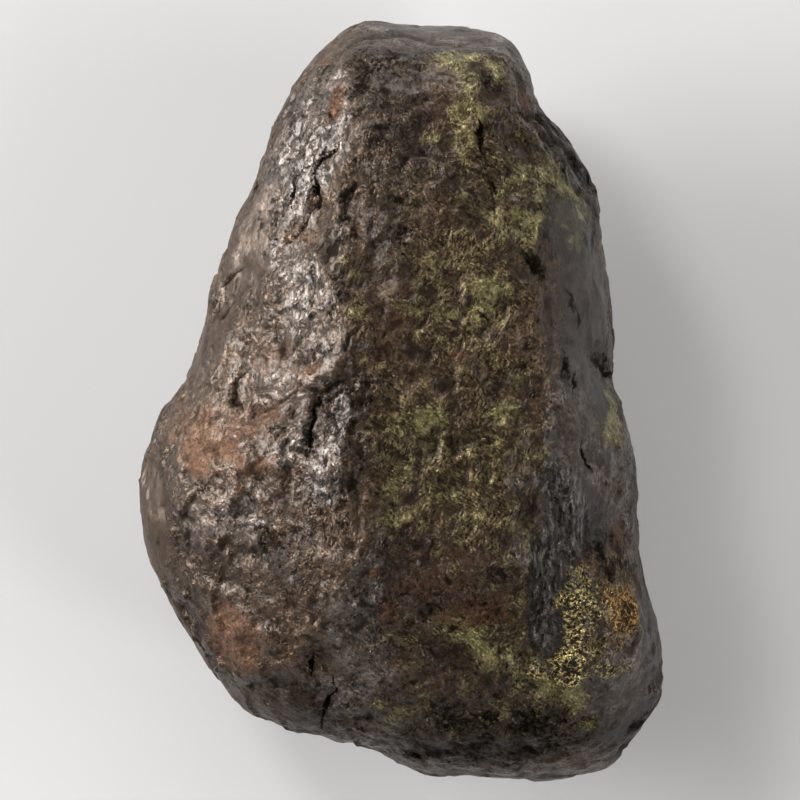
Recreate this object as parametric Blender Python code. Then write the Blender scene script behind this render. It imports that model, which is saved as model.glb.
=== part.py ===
"""An iron meteorite: one solid stone, worn smooth, that lies on its flattest side.

The stone is a sphere-shaped grid drawn out to the stone's outline seen from above. Flat faces cut its upper
and lower sides, and ledges, hollows, lumps and grooves are then pushed in or out along its surface.
Blender works in metres with +Z up. Every place and size below is in millimetres, and MM turns it into metres.
X runs across the stone, Y along it towards its narrow end, and Z up from the surface that it lies on.
"""

import math

import bmesh
import bpy
import numpy as np
from mathutils import Vector, noise

MM = 0.001

# Driving dimensions
LENGTH = 100.0  # along Y
RIM_HEIGHT = 20.5  # of the widest line round the stone, above the surface that it lies on
RIM_RISE = 2.0  # how far the rim climbs towards the narrow end and sinks towards the broad one
RIM_TILT = 0.6  # how far the rim sinks to the right and climbs to the left
RIM_WAVES = [(2, 1.5, 1.4), (3, 1.5, 2.4), (5, 1.0, 4.4)]  # waves round the rim, their height and their start
CREST_HEIGHT = 47.0  # of the ridge, before wear

# The outline from above, clockwise from the tip of the narrow end
OUTLINE = [
    (-3.5, 50.0), (1.8, 49.3), (8.1, 48.9), (12.8, 47.9), (15.9, 45.6),
    (16.9, 41.8), (20.5, 36.6), (23.5, 31.3), (25.6, 26.1), (26.1, 21.5),
    (27.9, 15.5), (28.1, 9.0), (28.0, 4.6), (28.1, 2.2), (30.2, -3.4),
    (31.3, -10.8), (31.1, -20.6), (32.5, -26.6), (34.0, -33.0), (34.2, -39.6),
    (31.1, -45.4), (25.5, -49.2), (18.0, -50.8), (13.0, -51.0), (6.0, -50.2),
    (1.0, -48.8), (-3.0, -47.2), (-5.4, -45.9), (-10.6, -45.0), (-17.2, -43.4),
    (-22.1, -40.0), (-27.7, -31.6), (-31.9, -24.0), (-34.5, -16.2), (-34.9, -11.6),
    (-33.2, -5.0), (-31.6, -1.4), (-28.8, 2.6), (-26.9, 8.6), (-26.0, 14.4),
    (-23.2, 21.0), (-19.7, 28.0), (-17.2, 36.0), (-12.6, 44.0), (-7.6, 48.4),
]  # fmt: skip
CENTRE = (1.0, -4.0)  # the middle of the outline, from which its radius is taken
OUTLINE_STEPS = 12  # points on each stretch of the outline's curve

# The upper faces. Each is a plane that passes through a point and falls away along a direction (0 is +X and
# 90 is +Y, in degrees) by a slope.
UPPER_FACES = {
    "crown": ((-7.0, 0.0, CREST_HEIGHT), -20.0, 0.10),
    "crown_north": ((-7.0, 12.0, CREST_HEIGHT), 75.0, 0.20),
    "left_north": ((-7.4, 10.0, CREST_HEIGHT), 168.0, 0.86),
    "left_south": ((-7.4, -12.0, CREST_HEIGHT), 196.0, 0.68),
    "right": ((20.0, 5.0, CREST_HEIGHT - 3.4), 8.0, 1.35),
    "foot": ((6.0, -20.0, CREST_HEIGHT - 1.5), -82.0, 0.50),
    "corner": ((20.0, -34.0, CREST_HEIGHT - 9.0), -48.0, 0.62),
    "tip": ((2.0, 46.2, CREST_HEIGHT - 9.0), 84.0, 1.9),
    "north_east": ((13.0, 36.0, CREST_HEIGHT - 6.5), 35.0, 0.62),
}
# The lower faces rise away from the resting face in the same way.
LOWER_FACES = {
    "rest": ((0.0, -3.0, -1.5), 0.0, 0.0),
    "under_left": ((-16.0, -5.0, 0.0), 176.0, 0.34),
    "under_right": ((17.0, -8.0, 0.0), 10.0, 0.36),
    "under_north": ((0.0, 24.0, 0.0), 96.0, 0.28),
    "under_foot": ((3.0, -36.0, 0.0), -84.0, 0.30),
}
UPPER_EDGE = 0.45  # how far the upper faces' meeting edges are worn back
LOWER_EDGE = 1.6
UPPER_FULLNESS = 8.0  # how near the outline the upper side stays before it turns down, higher is nearer
LOWER_FULLNESS = 3.6

# The hollows, pits and lumps of the upper side: x, y, the direction of the long axis in degrees, the long and
# the short half-width, and the depth. A lump has a depth below zero.
DENTS = {
    "scoop": (-15.0, 6.0, 30.0, 7.5, 5.2, 1.4),
    "scoop_mouth": (-21.0, -1.5, 60.0, 5.0, 3.5, 0.7),
    "under_ledge": (-9.5, -3.5, 75.0, 5.0, 2.6, 1.2),
    "left_shelf": (-13.5, 23.5, 72.0, 7.0, 3.2, 1.3),
    "left_waist": (-22.5, 15.0, 62.0, 5.5, 2.4, 0.9),
    "left_cheek": (-25.5, -13.0, 78.0, 9.0, 6.0, -1.3),
    "bright_knob": (-9.4, -8.4, 80.0, 5.0, 3.0, -0.8),
    "knob_above_scoop": (-12.0, 14.0, 60.0, 4.4, 3.2, -0.9),
    "left_hip": (-20.0, -28.0, 60.0, 8.0, 6.0, -0.6),
    "chin_dip": (-11.5, -35.0, 70.0, 5.0, 3.4, 1.1),
    "ridge_saddle": (-6.8, 24.0, 85.0, 6.0, 3.0, 0.6),
    "gutter": (-3.6, 12.0, 100.0, 11.0, 2.4, 0.7),
    "crown_hollow": (6.0, 14.0, 70.0, 10.0, 6.0, 1.0),
    "crown_swell": (11.0, -7.0, 110.0, 12.0, 7.0, -1.0),
    "ring_dent": (4.6, 34.6, 0.0, 3.0, 2.6, 0.8),
    "slot_hollow": (11.5, 30.0, 80.0, 6.5, 2.6, 1.0),
    "north_knuckle": (12.5, 42.5, 20.0, 5.0, 3.6, -1.2),
    "right_shoulder": (22.5, 23.0, 100.0, 7.0, 4.0, -0.9),
    "right_dent": (22.0, 13.0, 100.0, 6.5, 2.6, 1.0),
    "right_flank": (25.0, -8.0, 95.0, 7.0, 5.0, -0.8),
    "valley": (23.4, -20.0, 102.0, 9.0, 5.0, 1.9),
    "valley_tail": (18.5, -31.0, 95.0, 9.0, 3.2, 1.1),
    "right_foot": (26.0, -33.5, 100.0, 8.5, 6.0, -1.5),
    "belly": (8.0, -30.0, 20.0, 8.0, 5.0, 1.0),
    "toe": (14.0, -44.0, 5.0, 10.0, 4.0, -0.8),
    "slot_pit": (10.3, 34.0, 88.0, 3.0, 1.5, 1.0),
    "step_pit": (12.0, 27.4, 0.0, 1.7, 1.7, 0.8),
    "crown_pit": (4.8, -4.2, 80.0, 2.2, 1.6, 0.8),
    "shoulder_pit": (10.5, 10.6, 30.0, 1.8, 1.6, 0.6),
    "cheek_pit": (-21.2, 0.8, 80.0, 2.8, 1.6, 0.9),
    "cheek_bead": (-19.2, 1.0, 80.0, 1.8, 1.5, -0.6),
    "chin_pit": (-11.4, -34.6, 80.0, 2.2, 1.5, 0.9),
    "hip_pit": (-25.6, -9.5, 20.0, 2.4, 1.8, 0.7),
    "flank_pit": (24.2, -8.2, 110.0, 2.8, 1.5, 0.8),
    "valley_pit": (21.0, -24.0, 95.0, 3.4, 1.6, 0.8),
}

# Ledges and grooves of the upper side: a path, how far the groove reaches on its left and right (walking
# along the path), and its depth. A ledge is a groove that is steep on one side and long on the other.
GROOVES = {
    "ledge_ridge": ([(-5.8, 4.6), (-7.6, 2.0), (-10.4, 0.4), (-11.2, -2.4), (-12.8, -9.5)], 3.2, 1.5, 1.3),
    "ledge_scoop": ([(-10.4, 0.6), (-13.8, 0.2), (-16.4, -1.7), (-20.3, -2.9)], 3.0, 1.4, 0.9),
    "crack_north": ([(-8.4, 32.5), (-10.6, 30.5), (-11.0, 26.0), (-13.4, 21.3)], 1.5, 1.5, 0.8),
    "waist_slit": ([(-20.6, 17.0), (-23.4, 14.4), (-24.6, 12.0)], 1.4, 0.9, 0.6),
    "right_slot": ([(16.4, 18.9), (18.7, 16.1), (19.6, 12.6), (20.4, 9.0)], 2.6, 1.5, 1.0),
    "right_notch": ([(24.6, 6.6), (26.4, 3.0), (30.0, 2.7)], 1.5, 1.5, 0.8),
    "valley_fold": ([(20.4, -12.6), (21.4, -18.0), (18.6, -25.0), (18.2, -32.0)], 1.6, 2.4, 0.8),
    "chin_crack": ([(-11.3, -33.6), (-9.0, -37.0), (-10.4, -43.0)], 1.5, 1.5, 0.8),
    "tip_step": ([(14.4, 38.2), (17.6, 38.4), (20.6, 37.2)], 1.4, 1.8, 0.8),
    "toe_nick": ([(-4.2, -43.6), (-2.4, -47.6)], 1.4, 1.4, 0.8),
}  # fmt: skip

HOLLOW_FALLOFF = 1.4  # how quickly a hollow or a lump fades across its half-widths
UPPER_FADE = (-0.6, 0.5)  # the upward lean of the surface between which all of these fade in

# The sides and the underside have thumbprint hollows, scattered by a fixed seed.
THUMBPRINTS = 38
THUMBPRINT_RADIUS = (4.0, 8.5)
THUMBPRINT_DEPTH = (0.6, 1.9)
THUMBPRINT_SEED = 11
THUMBPRINT_LEAN = 0.25  # the most that the surface may lean upward in the middle of one
THUMBPRINT_FADE = 0.75  # the upward lean at which they are gone
# Uneven wear over the whole stone: wavelength and height
WEAR = [(16.0, 0.75), (6.0, 0.38)]
RIM_WEAR = 0.35  # the share of that wear which reaches the rim

GRID = 28  # squares along each side of the six patches of the sphere grid
UPWARD_PULL = 0.28  # draws the grid's points towards the upper side, where the detail is

IRON_BROWN = (0.075, 0.058, 0.050, 1.0)


def outline_radius():
    """Angles round CENTRE and the outline's radius at each, from a smooth closed curve through OUTLINE."""
    corners = np.array(OUTLINE)
    before, after = np.roll(corners, 1, axis=0), np.roll(corners, -1, axis=0)
    beyond = np.roll(corners, -2, axis=0)
    curve = []
    for t in np.linspace(0.0, 1.0, OUTLINE_STEPS, endpoint=False):
        weights = (
            (-t + 2 * t**2 - t**3) / 2,
            (2 - 5 * t**2 + 3 * t**3) / 2,
            (t + 4 * t**2 - 3 * t**3) / 2,
            (t**3 - t**2) / 2,
        )
        curve.append(sum(w * c for w, c in zip(weights, (before, corners, after, beyond))))
    points = np.concatenate(curve) - CENTRE
    angles = np.arctan2(points[:, 1], points[:, 0])
    order = np.argsort(angles)
    return angles[order], np.hypot(points[:, 0], points[:, 1])[order]


def plane_heights(faces, x, y, rises):
    """The height of each plane at x, y, one row for each. Upper planes fall away and lower planes rise."""
    rows = []
    for (px, py, pz), direction, slope in faces.values():
        turn = math.radians(direction)
        away = (x - px) * math.cos(turn) + (y - py) * math.sin(turn)
        rows.append(pz + rises * slope * away)
    return np.array(rows)


def smooth_lowest(heights, edge):
    """The lowest row at each point, with the edge between rows rounded."""
    lowest = heights.min(axis=0)
    return lowest - edge * np.log(np.exp((lowest - heights) / edge).sum(axis=0))


def stone_surface(directions):
    """Places on the stone before its ledges and hollows, for unit directions from its middle."""
    angle = np.arctan2(directions[:, 1], directions[:, 0])
    share = np.minimum(np.hypot(directions[:, 0], directions[:, 1]), 1.0)
    angles, radii = outline_radius()
    radius = np.interp(angle, angles, radii, period=2 * math.pi)
    x = CENTRE[0] + share * radius * np.cos(angle)
    y = CENTRE[1] + share * radius * np.sin(angle)
    rim = RIM_HEIGHT + RIM_RISE * np.sin(angle) - RIM_TILT * share * np.cos(angle)
    rim += share * sum(height * np.sin(waves * angle + start) for waves, height, start in RIM_WAVES)
    upper = smooth_lowest(plane_heights(UPPER_FACES, x, y, -1.0), UPPER_EDGE)
    lower = -smooth_lowest(-plane_heights(LOWER_FACES, x, y, 1.0), LOWER_EDGE)
    above = np.sqrt(1.0 - share**UPPER_FULLNESS)
    below = np.sqrt(1.0 - share**LOWER_FULLNESS)
    z = np.where(directions[:, 2] > 0, rim + (upper - rim) * above, rim + (lower - rim) * below)
    return np.column_stack([x, y, z])


def dent_depth(points, dent):
    """How deep one hollow of the upper side is at each point."""
    x, y, direction, long, short, depth = dent
    turn = math.radians(direction)
    dx, dy = points[:, 0] - x, points[:, 1] - y
    along = (dx * math.cos(turn) + dy * math.sin(turn)) / long
    across = (dy * math.cos(turn) - dx * math.sin(turn)) / short
    return depth * np.exp(-(along**2 + across**2) * HOLLOW_FALLOFF)


def groove_depth(points, groove):
    """How deep one groove is at each point, from its distance to the path and the side that it lies on."""
    path, left, right, depth = groove
    nearest = np.full(len(points), np.inf)
    side = np.zeros(len(points))
    for (ax, ay), (bx, by) in zip(path, path[1:]):
        step = np.array([bx - ax, by - ay])
        offset = points[:, :2] - (ax, ay)
        share = np.clip(offset @ step / (step @ step), 0.0, 1.0)
        gap = offset - share[:, None] * step
        distance = np.hypot(gap[:, 0], gap[:, 1])
        turn = step[0] * offset[:, 1] - step[1] * offset[:, 0]
        side = np.where(distance < nearest, np.sign(turn), side)
        nearest = np.minimum(distance, nearest)
    return depth * np.exp(-((nearest / np.where(side > 0, left, right)) ** 2))


def thumbprint_depth(points, normals):
    """The scattered hollows of the sides and the underside, faded out towards the upper side."""
    chance = np.random.default_rng(THUMBPRINT_SEED)
    lower = np.flatnonzero(normals[:, 2] < THUMBPRINT_LEAN)
    depth = np.zeros(len(points))
    for middle in points[chance.choice(lower, THUMBPRINTS, replace=False)]:
        radius = chance.uniform(*THUMBPRINT_RADIUS)
        distance = np.linalg.norm(points - middle, axis=1)
        depth += chance.uniform(*THUMBPRINT_DEPTH) * np.exp(-((distance / radius) ** 2) * HOLLOW_FALLOFF)
    return depth * np.clip(THUMBPRINT_FADE - normals[:, 2], 0.0, 1.0)


def wear_height(points, normals):
    """Uneven wear: soft noise at a few wavelengths, held back at the rim to keep the outline's shape."""
    height = np.zeros(len(points))
    for wavelength, rise in WEAR:
        height += rise * np.array([noise.noise(Vector(p) / wavelength) for p in points])
    return height * (RIM_WEAR + (1.0 - RIM_WEAR) * np.abs(normals[:, 2]))


def stone_mesh():
    """The stone as a closed mesh of quads, in metres, on Z = 0 and with its box centred on the Z axis."""
    bm = bmesh.new()
    bmesh.ops.create_cube(bm, size=2.0)
    bmesh.ops.subdivide_edges(bm, edges=bm.edges[:], cuts=GRID - 1, use_grid_fill=True)
    cube = np.array([v.co for v in bm.verts])
    ball = np.tan(cube * math.pi / 4)
    ball /= np.linalg.norm(ball, axis=1)[:, None]
    polar = np.arccos(np.clip(ball[:, 2], -1.0, 1.0))
    pulled = polar - UPWARD_PULL * np.sin(polar)
    flat = np.maximum(np.hypot(ball[:, 0], ball[:, 1]), 1e-9)
    directions = np.column_stack([ball[:, :2] / flat[:, None] * np.sin(pulled)[:, None], np.cos(pulled)])
    points = stone_surface(directions)
    place(bm, points)
    normals = np.array([v.normal for v in bm.verts])
    upward = np.interp(normals[:, 2], UPPER_FADE, (0.0, 1.0))
    depth = sum(dent_depth(points, dent) for dent in DENTS.values())
    depth = depth + sum(groove_depth(points, groove) for groove in GROOVES.values())
    depth = depth * upward + thumbprint_depth(points, normals)
    points = points + normals * (wear_height(points, normals) - depth)[:, None]
    points[:, 2] = np.maximum(points[:, 2], 0.0)
    low, high = points.min(axis=0), points.max(axis=0)
    points[:, :2] -= (low[:2] + high[:2]) / 2
    place(bm, points * (LENGTH / (high[1] - low[1])) * MM)
    mesh = bpy.data.meshes.new("meteorite")
    bm.to_mesh(mesh)
    bm.free()
    return mesh


def place(bm, points):
    """Moves the mesh's points and works out its normals again."""
    for vert, point in zip(bm.verts, points):
        vert.co = point
    bm.normal_update()


def iron_crust():
    """Dark brown weathered iron with a dull metal shine."""
    material = bpy.data.materials.new("iron_crust")
    material.use_nodes = True
    shader = material.node_tree.nodes["Principled BSDF"]
    shader.inputs["Base Color"].default_value = IRON_BROWN
    shader.inputs["Roughness"].default_value = 0.42
    shader.inputs["Metallic"].default_value = 0.55
    return material


def main():
    for old in list(bpy.data.objects):
        bpy.data.objects.remove(old)
    mesh = stone_mesh()
    mesh.shade_smooth()
    mesh.materials.append(iron_crust())
    bpy.context.scene.collection.objects.link(bpy.data.objects.new("meteorite", mesh))


main()
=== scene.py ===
"""Looks for the iron meteorite: a fine skin over the frame's stone, its weathered finish with painted shade,
highlights, sheen and reflection, and a plain studio.

The stone lies on its flattest side, with +Z up and its narrow end at +Y. Blender works in metres. Places and
sizes on the stone are in millimetres in the same frame, and MM turns them into metres. The studio's sizes are
in metres. Directions of patches and lights are in degrees from +X.
"""

import math

import bmesh
import bpy
import numpy as np
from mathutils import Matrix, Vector
from mathutils.bvhtree import BVHTree


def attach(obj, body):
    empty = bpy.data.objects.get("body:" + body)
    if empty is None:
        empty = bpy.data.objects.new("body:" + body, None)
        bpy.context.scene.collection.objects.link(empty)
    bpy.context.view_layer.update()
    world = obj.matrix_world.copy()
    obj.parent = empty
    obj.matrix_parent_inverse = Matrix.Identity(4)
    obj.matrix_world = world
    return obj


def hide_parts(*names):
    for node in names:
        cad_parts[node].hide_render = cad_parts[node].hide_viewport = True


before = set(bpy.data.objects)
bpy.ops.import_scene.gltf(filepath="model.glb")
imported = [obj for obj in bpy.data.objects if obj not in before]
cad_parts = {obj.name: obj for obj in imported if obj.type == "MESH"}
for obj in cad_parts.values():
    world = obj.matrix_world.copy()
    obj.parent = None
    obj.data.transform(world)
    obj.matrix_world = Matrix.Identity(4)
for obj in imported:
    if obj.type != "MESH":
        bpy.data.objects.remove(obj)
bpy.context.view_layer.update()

MM = 0.001
SKIN_LEVELS = 2  # subdivisions of the frame's stone
WELD = 0.00001  # points of the frame closer than this are one point
FOLD_LIMIT = 50.0  # two triangles are joined to a quad up to this fold between them, in degrees
SKEW_LIMIT = 70.0  # and up to this much out of square

# Finishes in patches over the upper side. Each patch is x, y, the direction of its long axis, its long and
# its short half-width, and its strength. Nodular comes first, because the rim's smooth glaze keeps off it.
# Some patches carry painted light, marked at each.
FINISHES = {
    "nodular": [
        (-13.3, 33, 65, 13, 6, 1), (-15, 14, 55, 12, 6, 0.6),
        (-9.4, -8.3, 82, 14, 5.5, 1), (-13.3, -22.8, 70, 15, 9, 0.6),
        (-18, -12, 40, 9, 5, 0.6), (19.5, 31, 118, 11, 8, 1),
        (4, -27, 0, 16, 9, 1), (5, -42, -5, 20, 7, 1),
        (-1, 32, 88, 14, 7, 1),
    ],
    "rust": [
        (-25, -4.8, -15, 8.5, 4.6, 0.7), (-27, -7.4, -60, 3.6, 2.2, 1),
        (-18.3, -2.1, 10, 7, 3.4, 0.55), (-19, -9, 60, 12, 7, 0.36),
        (4, -24, 10, 11, 5, 0.42), (-21.8, -30.9, -60, 5.4, 4.2, 1),
        (-8.7, 38.9, 80, 3.2, 1.2, 0.9), (-10.3, 44.6, 0, 1.3, 1.1, 0.9),
        (16.6, 39.1, -20, 2, 1, 1), (-0.2, 10.3, 0, 1.1, 0.9, 1),
        (7.4, 6, 0, 1.2, 0.8, 0.9), (-3.7, -22.2, 0, 1.4, 0.9, 1),
        (-12.6, 4.8, 30, 5.5, 3.2, 0.5), (-15.6, 5.6, 10, 6, 3, 0.5),
        (-20.8, -11.2, 80, 1.2, 0.8, 0.9), (-18.3, -8.4, 60, 1.5, 0.9, 0.9),
        (28.3, -18.8, 100, 4.5, 2.2, 0.6), (29.8, -26.4, 100, 5.5, 2.8, 0.7),
        (9, -27.4, 10, 7, 3.4, 0.7), (-1, -27, 70, 6, 3, 0.5),
    ],
    "olive": [
        (9.7, 43.3, -12, 8, 3.2, 0.85), (8, 38.3, 70, 4.5, 2, 0.85),
        (6, 34.3, 0, 3.6, 3.2, 0.85), (12.5, 31, 100, 9, 7, 0.8),
        (20.8, 25.8, 120, 8, 4.2, 0.9), (17.4, 32.6, 130, 8, 2.4, 0.9),
        (15.8, 22.4, 100, 5, 2.4, 0.9), (8.5, 12, 95, 22, 10.5, 0.72),
        (9, -9, 100, 17, 10.5, 0.76), (-5.4, 11.4, 100, 9, 1.8, 0.62),
        (-0.6, -5, 95, 13, 4, 0.8), (27.4, -2.4, 100, 4.5, 3.2, 0.9),
        (14.9, -26, 80, 7, 4.2, 0.8), (16.9, -33.2, 10, 6, 3, 0.7),
        (10, -31, -20, 8, 4.2, 0.9), (18, -36.8, -22, 9, 2.8, 0.9),
        (6, -40, 0, 14, 4, 0.6), (20, -41, -16, 8, 2.6, 0.5),
        (4, -31, 0, 12, 4, 0.5), (-1.5, -12, 90, 10, 2.6, 0.6),
    ],
    # Lemon: brighter crests on the olive, partly painted highlight
    "lemon_highlight": [
        (18.3, 38.2, -40, 4.6, 0.8, 1), (16.3, 25, 55, 4.8, 0.7, 1),
        (7, 34.5, 105, 3.4, 0.7, 1), (10.5, 44, -12, 7, 2.4, 0.4),
        (8.6, 40.5, 80, 3.5, 1.6, 0.8), (7.6, 36.4, 120, 3, 1, 1),
        (4.6, 33.8, 60, 2.4, 1, 0.8), (15.5, 29.5, 40, 4.5, 1.2, 0.7),
        (22, 25, 120, 6, 2.2, 1), (15.8, 22.4, 100, 4.4, 1.6, 1),
        (17.6, 22.5, 60, 3.5, 1.2, 0.9), (11, 13.5, 20, 4.5, 2.4, 0.7),
        (13, -4, 80, 7, 2.4, 0.8), (16.5, -1, 100, 5, 1.8, 0.6),
        (0.6, -8, 95, 7, 1.3, 0.7), (-0.6, -14, 100, 6, 1.6, 0.8),
        (3, -5, 80, 7, 3, 0.6), (19.6, -4, 95, 6, 2, 0.8),
        (27.2, -1.8, 100, 5, 2.2, 0.8), (14, -32.8, -15, 7.5, 2, 1),
        (19, -37, -22, 8, 1.8, 1), (8, -30, -30, 5, 2, 0.9),
        (27.5, -36.5, 60, 4, 1.8, 0.8),
    ],
    "gold": [
        (23.2, -27.2, 88, 6.2, 3, 1), (22, -33.8, 40, 4.6, 3, 1),
        (26.4, -34.8, 10, 3.6, 1.8, 0.6), (20.8, -17.5, 0, 1.1, 0.9, 0.8),
        (17.3, -34.9, 0, 1.8, 1.1, 1),
    ],
    "amber": [
        (28.7, -26.6, 100, 5.6, 3, 1), (28, -21.8, 110, 3.5, 2, 0.6),
        (25.6, -32.5, 20, 3, 2, 0.4),
    ],
    # Violet: a grey-violet crust on the rims, the tip and the right face, partly painted sheen of reflected
    # light
    "violet": [
        (21.8, 22.4, 105, 6, 3.4, 1), (24.2, 13.3, 95, 12, 5, 1),
        (24.1, 0.2, 100, 10, 4.2, 1), (22.8, -11.6, 110, 9, 4.6, 1),
        (19.6, -24.1, 92, 12, 2.2, 1), (28.7, -39.2, 60, 7, 5, 1),
        (32.4, -32.6, 100, 9, 2.6, 0.8), (5.1, 48.8, -3, 11, 2.6, 1),
        (3.8, 40.9, 0, 3.4, 1.8, 0.3), (-14.6, 40.9, 55, 8, 1.8, 0.6),
        (13.5, 35.5, 80, 4.5, 2.4, 0.5),
    ],
    "smooth": [
        (21.8, 22.4, 105, 6, 3.2, 0.8), (24.2, 13.3, 95, 12, 5, 0.9),
        (24.1, 0.2, 100, 10, 4.2, 0.9), (22.8, -11.6, 110, 9, 4.6, 0.7),
        (28.7, -39.2, 60, 7, 5, 0.9), (5.1, 48.8, -3, 11, 2.6, 0.9),
        (-32.7, -15.5, 95, 11, 2.6, 1), (-27.7, -31.3, 122, 10, 2.6, 0.9),
        (-14.6, -42, -12, 10, 2.4, 0.6), (-25, -4.8, -15, 8, 4, 0.3),
        (-21.8, -30.9, -60, 5.4, 4.2, 0.3), (-19, 22, 65, 11, 3.6, 0.9),
        (-23.5, 10, 60, 6, 2.2, 0.7), (-14, 5.6, 20, 6.5, 3.2, 0.45),
        (-15, -21.5, 20, 8, 4.4, 0.34),
    ],
    "folds": [
        (21.6, -14.5, 97, 7.5, 3.6, 1), (18.6, -25, 90, 11, 2.4, 1),
        (22.8, -9, 100, 4, 2.4, 0.5),
    ],
    # Bark: a dark crust on the rims, partly painted shade along the bottom edge and under the shoulder's
    # overhang
    "bark": [
        (-31.5, -13.5, 95, 12, 4.4, 1), (-24, -21.5, 20, 8, 4.5, 0.8),
        (-26.7, -30.3, 122, 11, 4, 0.9), (-16, -38.8, -25, 12, 4.6, 0.8),
        (-24.5, 8.5, 60, 7, 2.4, 0.7), (27, -44, 30, 5, 2.6, 0.7),
        (31, -14, 95, 6, 1.8, 0.8), (21.4, 33, -54, 8.5, 2.6, 1),
        (31, -42.5, 50, 6, 2.4, 1), (13, -42.5, 2, 14, 3.4, 0.7),
        (12, -44.6, 2, 18, 3.4, 1), (-14, -44, -14, 9, 2.2, 0.9),
    ],
    # Umber: a darker brown, partly painted shade on the crown right of the ridge and along the bottom
    "umber": [
        (-0.8, 35.7, 88, 11, 5.4, 1), (-2.1, 22.5, 95, 9, 3.4, 0.8),
        (-0.6, 43.4, 4, 8, 3, 0.95), (-2.1, -18.1, 85, 11, 3.2, 0.8),
        (13, -42, 2, 17, 4, 1), (-14.6, -37.8, -20, 8, 4.2, 0.4),
    ],
    # Pale: a more reflective crust, partly painted reflection that brightens the lit left face
    "pale": [
        (-12.3, 33, 65, 13, 5.4, 1), (-15.6, 31, 70, 5, 2.4, 1),
        (-15, 18.2, -35, 6, 2.8, 1), (-13.3, 4.8, 30, 7.5, 5, 0.6),
        (-12.6, 12.6, 70, 8, 3.6, 0.8), (-9.7, -6.3, 75, 9, 4.6, 0.9),
        (-13.2, -6.4, 10, 4.6, 3, 1), (-8.7, -10.9, 90, 3.4, 2, 1),
        (-10.6, -3.2, 70, 3.4, 2, 1), (-22.2, -14.5, 80, 2.6, 1.8, 1),
        (-21.5, -14.5, 30, 8, 4.4, 0.8), (-28.3, -16.5, 100, 5, 2, 0.6),
        (-12.5, -18, 20, 7, 4, 0.3), (-4.6, -22, 100, 4, 2.2, 1),
        (-5.4, -31.5, -60, 8, 4, 1), (-9.5, -38.4, 10, 7.5, 3.2, 0.9),
        (-9.8, 39.3, 80, 3.4, 1.8, 1),
    ],
    # Ashen adds pale crust on the tip, the right side and the lower left, partly painted reflection
    "ashen": [
        (-5.4, -30.6, -60, 7.5, 3.8, 0.9), (-11.2, -38.2, 0, 6, 2.6, 0.8),
        (-3.8, -22.6, 95, 4.5, 2.2, 0.8), (-19, 22, 65, 11, 4, 0.4),
        (28, -38, 60, 9, 6, 0.75), (29.5, -8, 95, 12, 5, 0.5),
        (23.4, -4, 100, 9, 5, 0.9), (22.4, 21, 105, 6, 3.4, 0.3),
        (5.5, 48.6, -3, 13, 3.4, 0.7),
    ],
    # Painted shade: dark patches where shade falls, on the ridge's shaded side, under the shoulder's
    # overhang, along the bottom and in low ground
    "painted_shade": [
        (-5.2, 41.2, 88, 8, 2, 0.7), (-7.2, 24.8, 100, 5.5, 2.6, 0.8),
        (-8.4, 12.4, 60, 4.5, 1.8, 0.6), (-17.4, 12, 60, 4.5, 2.2, 0.35),
        (-17, 23.6, 75, 5.5, 2.2, 0.8), (-8.9, 19.2, 98, 5.5, 1.6, 1),
        (-11.6, 6, 20, 4.5, 1.6, 0.7), (18.8, 38.4, -50, 4, 2, 1),
        (-1, 44, 4, 7, 2.4, 0.6), (-14.2, -1.4, 30, 3.6, 1.8, 0.8),
        (-25.6, -10.6, 10, 5, 1.8, 0.7), (-18.3, -18, 80, 5, 1.8, 0.7),
        (-14, -44, -14, 9, 2.2, 0.7), (10, -46, 2, 16, 2, 0.7),
        (12, -42.6, 0, 17, 4.4, 0.6), (21.2, 3.8, 90, 3.2, 1, 0.9),
        (26.2, 5.2, -30, 3.4, 1.2, 0.9), (17.4, 18, -50, 3.2, 1.2, 0.9),
        (-6.2, -0.4, 50, 5.5, 2.4, 0.9), (-15.5, -2.4, 50, 5, 1.8, 0.5),
        (-14.6, -19.5, 10, 8, 4.4, 0.4), (19.8, 35.6, -50, 6, 2.2, 1),
        (23.4, 31.6, -55, 8, 2.4, 1), (8.4, 41.6, 60, 3.4, 1.4, 0.7),
        (12.2, 41.4, -30, 3.4, 1.4, 0.7), (27.6, -20.6, -50, 5, 2.8, 0.9),
        (16, -33.2, 80, 4, 2.2, 0.7), (11.4, 15.5, 0, 4.5, 2, 0.5),
        (12.3, 24.2, 30, 3.6, 2.2, 0.5), (10.4, 33.5, 90, 5, 1.8, 0.6),
        (31.5, -43, 50, 6, 2, 1), (0.6, 22, 80, 5, 2.6, 0.5),
        (12, -22.5, -10, 6, 2.4, 0.4), (5.2, -3.4, 60, 4, 2.2, 0.5),
    ],
}
PATCH_EDGE = (0.25, 1.4)  # a patch fades between these shares of its half-widths
# The underside has some of the finishes in patches that are scattered by a fixed seed.
HIDDEN_PATCHES = {
    "rust": 9, "olive": 9, "umber": 12, "pale": 8, "violet": 8, "smooth": 8, "bark": 8, "nodular": 14,
}
HIDDEN_SIZE = (3.0, 8.0)
HIDDEN_STRENGTH = (0.5, 1.0)
HIDDEN_SEED = 5
HIDDEN_LEAN = (0.15, -0.25)  # such a patch fades in between these upward leans of the surface
RIM_LEAN = (0.22, 0.5)  # the rim's smooth glaze fades between these upward leans
RIM_SMOOTH = 0.6
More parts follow.
